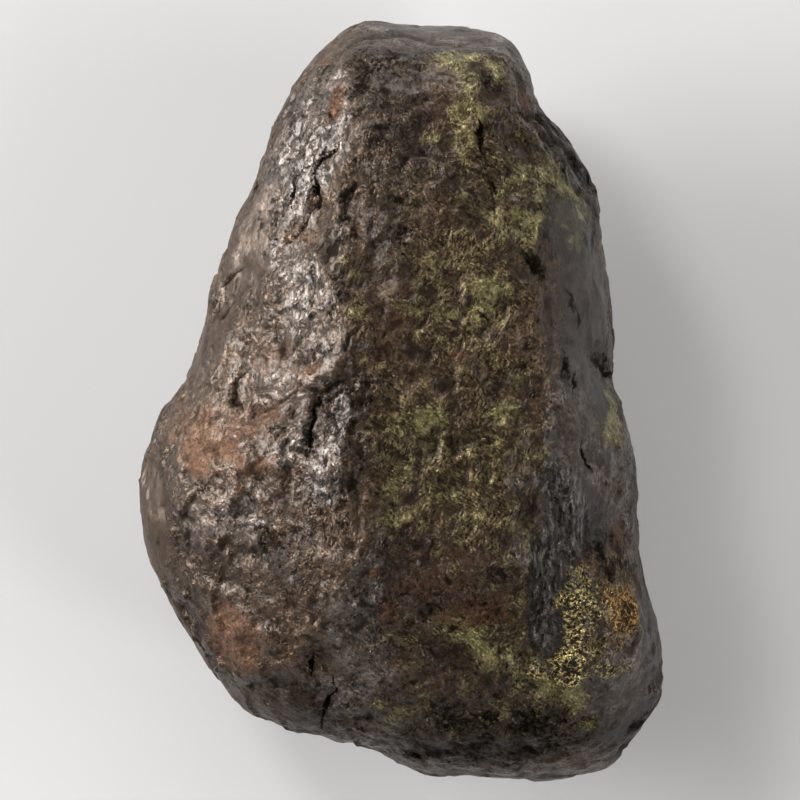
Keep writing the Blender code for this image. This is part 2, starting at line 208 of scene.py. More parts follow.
# The ridge between the bright left face and the dark crown. Pale ends at it, nodular weakens and umber
# begins. So the crust is painted lighter on the lit left face and darker on the shaded crown: painted
# reflection and painted shade.
RIDGE = [
    (-9.5, 50.0), (-7.3, 47.0), (-6.1, 36.0), (-6.9, 29.2), (-10.0, 25.5), (-11.4, 22.0), (-10.4, 18.2),
    (-8.3, 12.5), (-5.8, 5.0), (-6.6, 0.0), (-7.4, -6.0), (-7.0, -15.0), (-5.4, -21.0), (-2.8, -28.0),
    (-2.6, -36.0), (-4.0, -45.0),
]
RIDGE_WIDTH = 1.3
# Each finish's share to the left and to the right of the ridge
RIDGE_FINISHES = {"pale": (1.0, 0.0), "nodular": (1.0, 0.7), "umber": (0.0, 1.0)}

# Cracks, slits and folds of the upper side: their points, half-width, depth and how dark they are, that is
# how much painted shade fills their gap.
CRACKS = {
    "brow_top": ([(-8.3, 33.4), (-9.4, 32.0), (-10.3, 31.7), (-11.1, 30.8)], 0.42, 0.55, 1.0),
    "brow_hairline": ([(-11.1, 30.8), (-11.4, 29.4), (-11.0, 28.2)], 0.14, 0.30, 0.9),
    "brow_pocket": ([(-11.0, 28.6), (-11.1, 27.4), (-10.7, 26.2), (-11.2, 25.2)], 0.48, 0.70, 1.0),
    "brow_tail": (
        [(-11.1, 25.8), (-12.0, 24.2), (-12.8, 22.6), (-13.5, 21.5), (-15.2, 20.5)],
        0.20, 0.35, 0.9,
    ),
    "brow_branch": ([(-11.0, 31.0), (-12.5, 30.3), (-13.8, 29.3), (-14.2, 28.3)], 0.17, 0.30, 0.9),
    "brow_slit": ([(-14.2, 28.7), (-14.1, 27.2), (-14.4, 25.6)], 0.36, 0.60, 1.0),
    "brow_vein": ([(-9.7, 36.2), (-11.5, 35.0), (-12.9, 32.4), (-12.6, 30.4)], 0.14, 0.25, 0.8),
    "brow_vein_high": ([(-12.4, 41.0), (-13.8, 38.2), (-14.3, 35.6), (-13.6, 33.5)], 0.15, 0.25, 0.8),
    "tip_edge": (
        [(-7.1, 46.8), (-4.0, 47.6), (-0.2, 48.0), (2.1, 47.3), (5.2, 46.7), (7.2, 46.4), (10.6, 47.5)],
        0.42, 0.25, 0.5,
    ),
    "rim_slit": ([(-19.0, 28.4), (-19.4, 27.3)], 0.30, 0.40, 1.0),
    "waist_slit": ([(-21.1, 17.2), (-22.3, 16.1), (-23.3, 15.3)], 0.30, 0.45, 0.8),
    "waist_slit_low": ([(-23.9, 13.6), (-24.6, 12.6)], 0.26, 0.40, 0.8),
    "waist_nick": ([(-22.4, 12.7), (-23.3, 11.1)], 0.26, 0.35, 0.8),
    "ledge_crack": ([(-10.4, 1.2), (-11.1, -1.0), (-11.7, -3.7), (-12.0, -6.0)], 0.46, 0.80, 1.0),
    "ledge_lip": ([(-7.5, 2.4), (-9.6, 1.7), (-10.7, 0.9)], 0.40, 0.55, 0.6),
    "ledge_hollow": ([(-9.0, 1.8), (-10.6, 0.9), (-11.2, -1.6)], 1.0, 0.60, 0.8),
    "ledge_branch": (
        [
            (-10.7, 0.9), (-12.0, 1.1), (-13.9, 0.9), (-15.2, -0.1), (-16.5, -1.1), (-18.3, -1.8),
            (-20.4, -2.3),
        ],
        0.50, 0.40, 0.15,
    ),
    "cheek_slit": ([(-20.8, 3.4), (-21.6, 2.3), (-21.7, -0.1), (-20.7, -0.7)], 0.42, 0.55, 0.9),
    "cheek_fold": ([(-15.1, -1.8), (-15.9, -4.4), (-15.5, -7.0), (-14.6, -9.4)], 0.60, 0.40, 0.6),
    "cheek_line": ([(-18.3, -3.6), (-18.9, -6.4), (-20.4, -9.0)], 0.30, 0.25, 0.5),
    "hip_slit": ([(-11.3, -33.1), (-11.7, -35.0)], 0.55, 0.75, 1.0),
    "chin_crack": ([(-8.8, -36.2), (-8.5, -37.8), (-9.5, -38.7), (-10.6, -42.5)], 0.38, 0.60, 1.0),
    "toe_notch": ([(1.2, -46.4), (2.6, -46.9)], 0.36, 0.50, 1.0),
    "shoulder_slot": ([(10.1, 36.6), (10.3, 34.4), (10.4, 32.8)], 0.50, 0.80, 1.0),
    "shoulder_dot": ([(11.8, 28.4), (12.0, 27.6)], 0.42, 0.55, 1.0),
    "shoulder_overhang": (
        [(14.8, 37.6), (16.8, 37.0), (18.2, 37.1), (19.6, 35.2), (21.4, 33.4), (22.4, 31.2), (24.0, 29.4)],
        0.80, 0.60, 0.7,
    ),
    "shoulder_undercut": ([(20.2, 29.6), (22.6, 28.0), (25.0, 25.6), (26.0, 24.0)], 0.50, 0.40, 0.5),
    "shoulder_notch": ([(11.4, 37.0), (13.0, 36.6), (14.2, 37.2)], 0.34, 0.40, 0.4),
    "shoulder_ledge": ([(15.2, 34.6), (17.0, 33.8), (18.6, 31.8), (19.2, 30.0)], 0.50, 0.40, 0.5),
    "shoulder_vein": ([(8.6, 30.6), (11.0, 29.2), (12.0, 27.0), (12.2, 24.4)], 0.30, 0.30, 0.8),
    "ring_edge": ([(2.4, 36.6), (2.0, 34.4), (3.0, 32.2), (5.4, 31.4), (7.6, 31.6)], 0.32, 0.30, 0.6),
    "flank_pocket": ([(16.4, 19.2), (17.0, 18.2), (17.6, 17.3), (18.0, 16.4)], 0.50, 0.70, 0.85),
    "flank_shade": ([(18.4, 15.6), (19.0, 13.2), (19.2, 10.6), (19.5, 7.0), (19.3, 4.0)], 0.75, 0.35, 0.4),
    "flank_slit": ([(22.0, 14.2), (22.4, 12.9), (22.6, 12.0)], 0.34, 0.45, 0.7),
    "flank_slit_low": ([(22.8, 11.9), (23.1, 10.6), (23.0, 9.6)], 0.26, 0.40, 0.7),
    "notch_crack": ([(25.4, 5.6), (26.0, 4.4), (26.8, 3.6), (28.6, 3.4)], 0.38, 0.55, 0.9),
    "flank_pit": ([(21.2, 5.4), (21.1, 3.9)], 0.34, 0.45, 0.9),
    "flank_pit_low": ([(22.4, 3.1), (22.5, 1.7)], 0.32, 0.40, 0.9),
    "valley_crack": ([(23.4, -5.5), (23.9, -7.5), (24.6, -8.5)], 0.36, 0.50, 1.0),
    "fold_left": ([(19.4, -11.6), (20.5, -13.6), (20.7, -15.9), (21.4, -18.9)], 0.60, 0.35, 0.15),
    "fold_middle": ([(21.6, -12.4), (22.1, -15.0), (21.8, -18.7), (22.6, -21.4)], 0.28, 0.40, 0.6),
    "fold_right": ([(23.9, -13.4), (24.3, -16.1), (24.3, -19.1), (24.2, -22.1)], 0.55, 0.45, 0.3),
    "fold_far": ([(25.6, -11.4), (25.9, -14.5), (25.4, -17.6)], 0.40, 0.30, 0.15),
    "strip_left": (
        [(17.5, -17.6), (17.7, -20.1), (18.1, -24.1), (18.2, -26.7), (17.1, -29.7)],
        0.26, 0.40, 0.6,
    ),
    "strip_right": ([(19.9, -22.2), (20.1, -25.6), (20.5, -27.5), (20.4, -29.0)], 0.30, 0.40, 0.4),
    "crown_pit": ([(10.2, 11.2), (10.6, 10.9)], 0.45, 0.45, 0.9),
    "crown_pit_left": ([(4.8, -2.7), (4.7, -4.6)], 0.42, 0.40, 0.6),
    "ridge_line": ([(-3.8, 28.6), (-3.9, 24.0), (-3.6, 20.0), (-3.8, 16.5)], 0.45, 0.25, 0.3),
    "ridge_fold": ([(-5.4, -8.4), (-5.9, -12.4), (-5.4, -16.6)], 0.80, 0.40, 0.4),
    "belly_line": ([(-4.2, -22.0), (-4.6, -26.0), (-3.8, -30.0)], 0.50, 0.30, 0.4),
}
CRACK_STEP = 0.15  # between the points that guide a crack
CRACK_WANDER = 0.22  # how far a crack strays from its path, to each side
CRACK_LEAN = (1.0, 0.5)  # the direction in which it strays
CRACK_WIDTHS = (0.35, 1.35)  # its half-width varies between these shares along its path
CRACK_ENDS = 0.05  # the share of a half wave that is left out at each end, so that a crack isn't shut there
CRACK_SEED = 3

# Relief of the skin: sizes, heights and slopes
RELIEF = {
    "Swell size": 7.0,
    "Swell height": 0.45,
    "Chip size": 4.4,
    "Chip slope": 0.14,
    "Facet size": 2.0,
    "Facet slope": 0.15,
    "Ledge size": 5.5,
    "Ledge height": 0.14,
    "Nodule size": 1.3,
    "Nodule height": 0.05,
    "Lump size": 1.9,
    "Lump height": 0.17,
    "Pit spacing": 4.2,
    "Pit size": 0.60,
    "Pit depth": 0.35,
    "Grain size": 0.9,
    "Grain height": 0.03,
    "Crack stray": 0.30,
    "Sink": 0.12,
}
RELIEF_SEED = 7.0
FACET_SMOOTHNESS = 0.12
LEDGES = 7.0  # levels over the whole range of heights
SMOOTH_CALM = 0.65  # the share of the relief that a smooth skin takes away

# Linear colours of the finishes, some of them painted light as marked
COLOURS = {
    # Umber: partly painted shade on the crown and the bottom
    "umber_dark": (0.012, 0.007, 0.004),
    "umber": (0.072, 0.049, 0.032),
    "brown_dark": (0.020, 0.011, 0.006),
    "brown": (0.116, 0.070, 0.041),
    # Bark: partly painted shade at the bottom edge and under the shoulder's overhang
    "bark_dark": (0.018, 0.010, 0.006),
    "bark": (0.046, 0.027, 0.016),
    # Pale: a reflective tint, partly painted reflection on the lit left face
    "pale_dark": (0.050, 0.038, 0.031),
    "pale": (0.245, 0.210, 0.192),
    "olive_dark": (0.020, 0.011, 0.005),
    "olive": (0.094, 0.067, 0.033),
    # The olive's crests: partly lighter olive, partly painted highlight
    "olive_bright": (0.235, 0.212, 0.092),
    # Painted glints on the olive
    "olive_painted_glint": (0.560, 0.540, 0.300),
    "rust_dark": (0.050, 0.023, 0.013),
    "rust": (0.150, 0.072, 0.038),
    "rust_bright": (0.360, 0.195, 0.105),
    # The grey-violet crust: partly painted sheen of reflected light
    "violet_dark": (0.036, 0.031, 0.030),
    "violet": (0.070, 0.062, 0.060),
    # Painted highlight along the crests of the folds
    "violet_painted_highlight": (0.190, 0.168, 0.162),
    "gold_dark": (0.014, 0.007, 0.002),
    "gold_deep": (0.060, 0.036, 0.012),
    "gold": (0.850, 0.720, 0.340),
    "amber_dark": (0.016, 0.007, 0.002),
    "amber_deep": (0.060, 0.025, 0.008),
    "amber": (0.600, 0.370, 0.115),
    # Painted shade in hollows, cracks, pits, fractures and between folds
    "crevice_shade": (0.006, 0.004, 0.002),
}
# Noises of the crust: how many to a millimetre, their detail and their roughness
CLOUDS = {
    "cloud": (0.36, 6.0, 0.66),
    "broad": (0.1, 3.0, 0.6),
    "speck": (1.7, 3.0, 0.7),
    "grit": (3.4, 2.0, 0.6),
    "region": (0.22, 2.0, 0.5),
}
# Strokes of the crust: their direction in radians, their length and their width
STROKES = {"falling": (-0.7, 0.9, 0.3), "rising": (1.2, 0.9, 0.32), "drape": (1.64, 5.0, 0.6)}
CHIP_SIZE = 0.66
CRINKLE_SIZE = 0.52
# Which noise breaks up each finish's border, and how strongly
BORDERS = {
    "rust": ("other", 1.9),
    "olive": ("cloud", 2.2),
    "gold": ("cloud", 3.4),
    "amber": ("other", 2.6),
    "violet": ("other", 1.8),
    "smooth": ("other", 1.4),
    "bark": ("cloud", 2.4),
    "folds": ("cloud", 1.6),
    "umber": ("cloud", 2.4),
    "pale": ("other", 2.4),
    "ashen": ("cloud", 1.6),
    "painted_shade": ("speck", 2.6),
}
FACET_ROUGHNESS = (0.12, 0.30)  # from facet to facet
# Roughness and glaze, a thin clear coat, are laid over each other in this order
ROUGHNESS = {"olive": 0.22, "pale": 0.32, "rust": 0.50, "smooth": 0.44, "hollow": 0.70}
BARE_METAL = 0.35  # where no finish lies
METAL = {"olive": 0.60, "bark": 0.50, "rust": 0.50, "umber": 0.50, "pale": 0.85}
BARE_GLAZE = 0.14
GLAZE = {"pale": 0.38, "dull": 0.08, "olive": 0.10, "unglazed": 0.0}
GLAZE_ROUGHNESS = 0.14
GLAZE_IOR = 1.4

# Studio
CAMERA_DISTANCE = 1.5  # above RIM_LEVEL
RIM_LEVEL = 0.020
VIEW_WIDTH = 0.10494  # what the camera sees across at RIM_LEVEL
VIEW_CENTRE = (-0.00017, 0.00022)
LIGHT_COLOUR = (1.0, 0.955, 0.90)
FLOOR_SIZE = 8.0
FLOOR_COLOUR = (0.58, 0.60, 0.63, 1.0)  # it balances the warm light to a plain pale floor
FLOOR_ROUGHNESS = 0.85
FLOOR_GAP = 0.0002
# Soft boxes: their direction and elevation in degrees, distance, width and height, and radiance
LIGHTS = {
    "window": (165.0, 12.0, 0.8, (0.46, 0.34), 27.0),
    "left_box": (185.0, 30.0, 0.9, (0.6, 0.4), 3.0),
    "far_box": (92.0, 12.0, 0.9, (0.7, 0.3), 10.0),
    "right_box": (-5.0, 34.0, 0.9, (0.5, 0.4), 4.2),
    "near_right_box": (-35.0, 36.0, 0.9, (0.2, 0.2), 18.0),
    "near_box": (-103.0, 16.0, 0.9, (0.5, 0.3), 2.0),
    "top_left_box": (130.0, 48.0, 0.9, (0.2, 0.2), 20.0),
}
HORIZON, OVERHEAD = 0.36, 0.05  # strength of the room's light
NEAR_SHARE = 0.18  # of that strength on the side of the stone's broad end


# ---- Node helpers


def add(tree, kind, inputs=None, **settings):
    """A node with its settings. An input is a value or another node's output."""
    node = tree.nodes.new(kind)
    for name, value in settings.items():
        setattr(node, name, value)
    for key, value in (inputs or {}).items():
        if isinstance(value, bpy.types.NodeSocket):
            tree.links.new(value, node.inputs[key])
        else:
            node.inputs[key].default_value = value
    return node


def maths(tree, operation, *values):
    """The result of one sum."""
    return add(tree, "ShaderNodeMath", dict(enumerate(values)), operation=operation).outputs[0]


def vector_maths(tree, operation, *values):
    """The result of one sum of vectors."""
    keys = (0, "Scale") if operation == "SCALE" else (0, 1, 2)
    node = add(tree, "ShaderNodeVectorMath", dict(zip(keys, values)), operation=operation)
    return node.outputs["Value" if operation in ("DISTANCE", "LENGTH", "DOT_PRODUCT") else "Vector"]


def fade(tree, value, low, high, start=0.0, end=1.0):
    """A smooth step from start to end as the value goes from low to high."""
    inputs = {"Value": value, "From Min": low, "From Max": high, "To Min": start, "To Max": end}
    return add(tree, "ShaderNodeMapRange", inputs, interpolation_type="SMOOTHSTEP").outputs["Result"]


def noise(tree, vector, scale, detail, roughness):
    """A noise from 0 to 1, about a half."""
    inputs = {"Vector": vector, "Scale": scale, "Detail": detail, "Roughness": roughness}
    return add(tree, "ShaderNodeTexNoise", inputs).outputs["Fac"]


def warp(tree, vector, scale, reach):
    """The vector strayed by noise, by up to half a reach to each side."""
    inputs = {"Vector": vector, "Scale": scale, "Detail": 1.0}
    cloud = add(tree, "ShaderNodeTexNoise", inputs).outputs["Color"]
    return vector_maths(tree, "MULTIPLY_ADD", cloud, (reach, reach, reach), vector)


def facets(tree, vector, feature="F1"):
    """Tilted flat facets of about one unit. Their height, the distance from their middle and a chance colour
    of each."""
    inputs = {"Vector": vector, "Scale": 1.0}
    if feature == "SMOOTH_F1":
        inputs["Smoothness"] = FACET_SMOOTHNESS
    cells = add(tree, "ShaderNodeTexVoronoi", inputs, feature=feature).outputs
    offset = vector_maths(tree, "SUBTRACT", vector, cells["Position"])
    tilt = vector_maths(tree, "MULTIPLY_ADD", cells["Color"], (2.0, 2.0, 2.0), (-1.0, -1.0, -1.0))
    return vector_maths(tree, "DOT_PRODUCT", offset, tilt), cells["Distance"], cells["Color"]


def mix_colour(tree, share, first, second):
    """The first colour turned into the second by a share. A colour is a tuple or another node's output."""
    inputs = {0: share}
    for key, colour in ((6, first), (7, second)):
        inputs[key] = (*colour, 1.0) if isinstance(colour, tuple) else colour
    return add(tree, "ShaderNodeMix", inputs, data_type="RGBA").outputs[2]


def mix_value(tree, share, first, second):
    """The first value turned into the second by a share."""
    return add(tree, "ShaderNodeMix", {0: share, 2: first, 3: second}, data_type="FLOAT").outputs[0]


def highest(tree, first, *others):
    """The highest of several values."""
    for value in others:
        first = maths(tree, "MAXIMUM", first, value)
    return first


def product(tree, first, *others):
    """Several values multiplied."""
    for value in others:
        first = maths(tree, "MULTIPLY", first, value)
    return first


def total(tree, first, *others):
    """The sum of several values."""
    for value in others:
        first = maths(tree, "ADD", first, value)
    return first


def sockets(tree, ins, outs):
    """Makes a tree's named inputs and outputs and gives its input and output nodes."""
    for name, kind in ins.items():
        tree.interface.new_socket(name=name, in_out="INPUT", socket_type=kind)
    for name, kind in outs.items():
        tree.interface.new_socket(name=name, in_out="OUTPUT", socket_type=kind)
    return tree.nodes.new("NodeGroupInput"), tree.nodes.new("NodeGroupOutput")


# ---- The skin's mesh


def apply_modifiers(thing):
    """Turns a thing's modifiers into its plain mesh."""
    thing.data.update()
    graph = bpy.context.evaluated_depsgraph_get()
    mesh = bpy.data.meshes.new_from_object(thing.evaluated_get(graph))
    thing.modifiers.clear()
    thing.data = mesh


def smooth_stone():
    """The frame's stone as a fine, smooth closed mesh."""
    bm = bmesh.new()
    bm.from_mesh(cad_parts["meteorite"].data)
    bmesh.ops.remove_doubles(bm, verts=bm.verts[:], dist=WELD)
    fold, skew = math.radians(FOLD_LIMIT), math.radians(SKEW_LIMIT)
    bmesh.ops.join_triangles(bm, faces=bm.faces[:], angle_face_threshold=fold, angle_shape_threshold=skew)
    mesh = bpy.data.meshes.new("meteorite_skin")
    bm.to_mesh(mesh)
    bm.free()
    mesh.materials.clear()
    mesh.shade_smooth()
    stone = bpy.data.objects.new("meteorite_skin", mesh)
    bpy.context.scene.collection.objects.link(stone)
    subdivision = stone.modifiers.new("skin", "SUBSURF")
    subdivision.levels = subdivision.render_levels = SKIN_LEVELS
    apply_modifiers(stone)
    return stone


def on_top(tree, x, y):
    """The place on the stone's upper side over x, y in millimetres, or None past its outline."""
    return tree.ray_cast(Vector((x * MM, y * MM, 1.0)), Vector((0, 0, -1)))[0]


def patch_mask(points, centre, direction, long, short, strength):
    """How strongly each point lies in one patch, from a flattened ball round its centre."""
    turn = math.radians(direction)
    offset = (points - centre) / MM
    along = (offset[:, 0] * math.cos(turn) + offset[:, 1] * math.sin(turn)) / long
    across = (offset[:, 1] * math.cos(turn) - offset[:, 0] * math.sin(turn)) / short
    depth = offset[:, 2] / (long + short)
    share = np.sqrt(along**2 + across**2 + depth**2)
    step = np.clip((PATCH_EDGE[1] - share) / (PATCH_EDGE[1] - PATCH_EDGE[0]), 0.0, 1.0)
    return strength * step**2 * (3 - 2 * step)


def lay_finishes(stone, tree):
    """Writes each finish's mask onto the skin's points. Some masks are painted light: painted shade, painted
    highlight, painted sheen and painted reflection.
    """
    count = len(stone.data.vertices)
    points, normals = np.zeros(count * 3), np.zeros(count * 3)
    stone.data.vertices.foreach_get("co", points)
    stone.data.vertices.foreach_get("normal", normals)
    points, lean = points.reshape(-1, 3), normals.reshape(-1, 3)[:, 2]
    chance = np.random.default_rng(HIDDEN_SEED)
    hidden = np.flatnonzero(lean < HIDDEN_LEAN[1])
    veil = np.clip((HIDDEN_LEAN[0] - lean) / (HIDDEN_LEAN[0] - HIDDEN_LEAN[1]), 0.0, 1.0)
    ridge = np.array(RIDGE)[::-1]
    side = points[:, 0] / MM - np.interp(points[:, 1] / MM, ridge[:, 1], ridge[:, 0])
    side = np.clip(0.5 + side / RIDGE_WIDTH, 0.0, 1.0)
    for finish, patches in FINISHES.items():
        mask = np.zeros(count)
        for x, y, *shape in patches:
            centre = on_top(tree, x, y)
            if centre:
                mask = np.maximum(mask, patch_mask(points, np.array(centre), *shape))
        left, right = RIDGE_FINISHES.get(finish, (1.0, 1.0))
        mask *= left + (right - left) * side
        for centre in points[chance.choice(hidden, HIDDEN_PATCHES.get(finish, 0), replace=False)]:
            long, short = chance.uniform(*HIDDEN_SIZE, 2)
            shape = (chance.uniform(0, 180), long, short, chance.uniform(*HIDDEN_STRENGTH))
            mask = np.maximum(mask, veil * patch_mask(points, centre, *shape))
        if finish == "smooth":
            rim = np.clip((RIM_LEAN[1] - np.abs(lean)) / (RIM_LEAN[1] - RIM_LEAN[0]), 0.0, 1.0)
            mask = np.maximum(mask, RIM_SMOOTH * rim * (1.0 - rugged))
        if finish == "nodular":
            rugged = mask
        layer = stone.data.attributes.new(finish, "FLOAT", "POINT")
        layer.data.foreach_set("value", mask)


def crack_guide(tree):
    """Points along every crack, each with its half-width and depth, which shrink towards the ends."""
    chance = np.random.default_rng(CRACK_SEED)
    places, reaches, depths, darks, across = [], [], [], [], []
    for path, reach, depth, dark in CRACKS.values():
        path = np.array(path)
        lengths = np.concatenate([[0.0], np.cumsum(np.linalg.norm(np.diff(path, axis=0), axis=1))])
        steps = np.arange(0.0, lengths[-1] + CRACK_STEP, CRACK_STEP)
        wander = np.interp(steps, steps[::3], chance.uniform(-CRACK_WANDER, CRACK_WANDER, len(steps[::3])))
        widths = np.interp(steps, steps[::5], chance.uniform(*CRACK_WIDTHS, len(steps[::5])))
        line = np.array([np.interp(steps, lengths, path[:, axis]) for axis in (0, 1)]).T
        line += wander[:, None] * CRACK_LEAN
        run = np.gradient(line, axis=0)
        run /= np.linalg.norm(run, axis=1)[:, None]
        for step, (x, y), (run_x, run_y), width in zip(steps, line, run, widths):
            place = on_top(tree, x, y)
            if place:
                places.append(place)
                way = CRACK_ENDS + (1 - 2 * CRACK_ENDS) * min(step / lengths[-1], 1.0)
                ends = math.sqrt(math.sin(math.pi * way))
                reaches.append(reach * ends * width)
                depths.append(depth * ends * width)
                darks.append(dark)
                across += [-run_y, run_x, 0.0]
    mesh = bpy.data.meshes.new("crack_guide")
    mesh.from_pydata(places, [], [])
    for name, values in (("reach", reaches), ("depth", depths), ("dark", darks)):
        mesh.attributes.new(name, "FLOAT", "POINT").data.foreach_set("value", values)
    mesh.attributes.new("across", "FLOAT_VECTOR", "POINT").data.foreach_set("vector", across)
    guide = bpy.data.objects.new("crack_guide", mesh)
    bpy.context.scene.collection.objects.link(guide)
    return guide


# ---- Relief, by Geometry Nodes


def named(tree, name, kind="FLOAT"):
    """A number or a vector that is stored on the points."""
    return add(tree, "GeometryNodeInputNamedAttribute", {"Name": name}, data_type=kind).outputs["Attribute"]


def relief_tree():
    """Pushes the skin in and out: swells, chips, facets, ledges, lumps, nodules, grain, pits and cracks."""
    tree = bpy.data.node_groups.new("meteorite_relief", "GeometryNodeTree")
    ins = {"Geometry": "NodeSocketGeometry"} | {name: "NodeSocketFloat" for name in RELIEF}
    ins |= {"Seed": "NodeSocketFloat", "Cracks": "NodeSocketObject", "Finish": "NodeSocketMaterial"}
    given, made = sockets(tree, ins, {"Geometry": "NodeSocketGeometry"})
    given = given.outputs
    place = add(tree, "GeometryNodeInputPosition").outputs[0]
    shift = add(tree, "ShaderNodeCombineXYZ", {axis: given["Seed"] for axis in range(3)}).outputs[0]
    shifted = vector_maths(tree, "MULTIPLY_ADD", place, (1 / MM, 1 / MM, 1 / MM), shift)
    warped = warp(tree, shifted, 0.5, 2.4)
    calm = maths(tree, "MULTIPLY_ADD", named(tree, "smooth"), -SMOOTH_CALM, 1.0)
    nodular = named(tree, "nodular")

    def sized(vector, name):
        return vector_maths(tree, "SCALE", vector, maths(tree, "DIVIDE", 1.0, given[name]))

    def centred(value, height):
        return maths(tree, "MULTIPLY", maths(tree, "MULTIPLY_ADD", value, 2.0, -1.0), given[height])

    def tilted(name):
        flat = facets(tree, sized(warped, name + " size"), "SMOOTH_F1")[0]
        return product(tree, flat, given[name + " slope"], given[name + " size"])

    swell = centred(noise(tree, sized(shifted, "Swell size"), 1.0, 2.0, 0.5), "Swell height")
    chips = tilted("Chip")
    small = product(tree, tilted("Facet"), maths(tree, "MULTIPLY_ADD", nodular, 0.6, 0.6))
    # Ledges: flat steps with steep edges
    steps = maths(tree, "MULTIPLY", noise(tree, sized(warped, "Ledge size"), 1.0, 5.0, 0.6), LEDGES)
    edges = fade(tree, maths(tree, "FRACT", steps), 0.7, 0.98)
    ledges = maths(tree, "SUBTRACT", maths(tree, "ADD", maths(tree, "FLOOR", steps), edges), LEDGES / 2)
    ledges = maths(tree, "MULTIPLY", ledges, given["Ledge height"])
    grain = centred(noise(tree, sized(shifted, "Grain size"), 1.0, 2.0, 0.6), "Grain height")
    lumps = centred(noise(tree, sized(warped, "Lump size"), 1.0, 3.0, 0.5), "Lump height")
    lumps = product(tree, lumps, maths(tree, "MULTIPLY_ADD", nodular, 0.6, 0.5))
    # Nodules, round and close together
    inputs = {"Vector": sized(warped, "Nodule size"), "Scale": 1.0, "Smoothness": FACET_SMOOTHNESS}
    cells = add(tree, "ShaderNodeTexVoronoi", inputs, feature="SMOOTH_F1").outputs["Distance"]
    nodules = centred(fade(tree, cells, 0.1, 0.75, 1.0, 0.0), "Nodule height")
    nodules = maths(tree, "MULTIPLY", nodules, nodular)
    # Pits, here and there
    inputs = {"Vector": sized(warped, "Pit spacing"), "Scale": 1.0}
    spots = add(tree, "ShaderNodeTexVoronoi", inputs, feature="F1").outputs
    chosen = add(tree, "ShaderNodeSeparateXYZ", {0: spots["Color"]}).outputs[0]
    room = maths(tree, "MULTIPLY", spots["Distance"], given["Pit spacing"])
    pits = fade(tree, room, maths(tree, "MULTIPLY", given["Pit size"], 0.35), given["Pit size"], 1.0, 0.0)
    pits = maths(tree, "MULTIPLY", pits, maths(tree, "GREATER_THAN", chosen, 0.45))
    # Cracks follow their guide's points, with ragged sides
    guide = add(tree, "GeometryNodeObjectInfo", {"Object": given["Cracks"]}).outputs["Geometry"]
    nearest = add(tree, "GeometryNodeSampleNearest", {"Geometry": guide}, domain="POINT").outputs[0]

    def of_guide(value, kind):
        inputs = {"Geometry": guide, "Value": value, "Index": nearest}
        return add(tree, "GeometryNodeSampleIndex", inputs, data_type=kind, domain="POINT").outputs[0]

    guide_place = of_guide(add(tree, "GeometryNodeInputPosition").outputs[0], "FLOAT_VECTOR")
    offset = vector_maths(tree, "SCALE", vector_maths(tree, "SUBTRACT", place, guide_place), 1 / MM)
    across = named(tree, "across", "FLOAT_VECTOR")
    aside = vector_maths(tree, "DOT_PRODUCT", offset, of_guide(across, "FLOAT_VECTOR"))
    span = vector_maths(tree, "LENGTH", offset)
    gap = maths(tree, "ADD", span, centred(noise(tree, shifted, 1.3, 3.0, 0.6), "Crack stray"))
    reach = of_guide(named(tree, "reach"), "FLOAT")
    crack = fade(tree, gap, product(tree, reach, 0.3), product(tree, reach, 1.35), 1.0, 0.0)
    groove = maths(tree, "MULTIPLY", crack, of_guide(named(tree, "depth"), "FLOAT"))

    raised = product(tree, total(tree, swell, chips, small, grain, ledges, lumps, nodules), calm)
    sunk = total(tree, product(tree, pits, given["Pit depth"], calm), groove, given["Sink"])
    rise = product(tree, maths(tree, "SUBTRACT", raised, sunk), MM)
    push = vector_maths(tree, "SCALE", add(tree, "GeometryNodeInputNormal").outputs[0], rise)
    # Nothing reaches below the surface that the stone lies on
    moved = add(tree, "ShaderNodeSeparateXYZ", {0: vector_maths(tree, "ADD", place, push)}).outputs
    inputs = {0: moved[0], 1: moved[1], 2: maths(tree, "MAXIMUM", moved[2], 0.0)}
    settled = add(tree, "ShaderNodeCombineXYZ", inputs).outputs[0]
    # How darkly each crack is painted: painted shade that the finish lays into its gap
    dark = product(tree, fade(tree, span, 0.7, 1.2, 1.0, 0.0), of_guide(named(tree, "dark"), "FLOAT"))
    kept = {"relief": raised, "pit": pits, "crack": dark, "crack_side": aside, "crack_reach": reach}
    geometry = given["Geometry"]
    for name, value in kept.items():
        inputs = {"Geometry": geometry, "Name": name, "Value": value}
        store = add(tree, "GeometryNodeStoreNamedAttribute", inputs, data_type="FLOAT", domain="POINT")
        geometry = store.outputs[0]
    for kind, inputs in (
        ("GeometryNodeSetPosition", {"Position": settled}),
        ("GeometryNodeRealizeInstances", {}),
        ("GeometryNodeSetMaterial", {"Material": given["Finish"]}),
    ):
        geometry = add(tree, kind, {"Geometry": geometry} | inputs).outputs[0]
    tree.links.new(geometry, made.inputs[0])
    return tree


def roughen(stone, guide, finish):
    """Gives the skin its relief and its material, as a plain mesh."""
    tree = relief_tree()
    relief = stone.modifiers.new("relief", "NODES")
    relief.node_group = tree
    values = RELIEF | {"Seed": RELIEF_SEED, "Cracks": guide, "Finish": finish}
    for socket in tree.interface.items_tree:
        if socket.in_out == "INPUT" and socket.name in values:
            relief[socket.identifier] = values[socket.name]
    apply_modifiers(stone)
    bpy.data.objects.remove(guide)
    stone.data.shade_smooth()


# ---- The finish


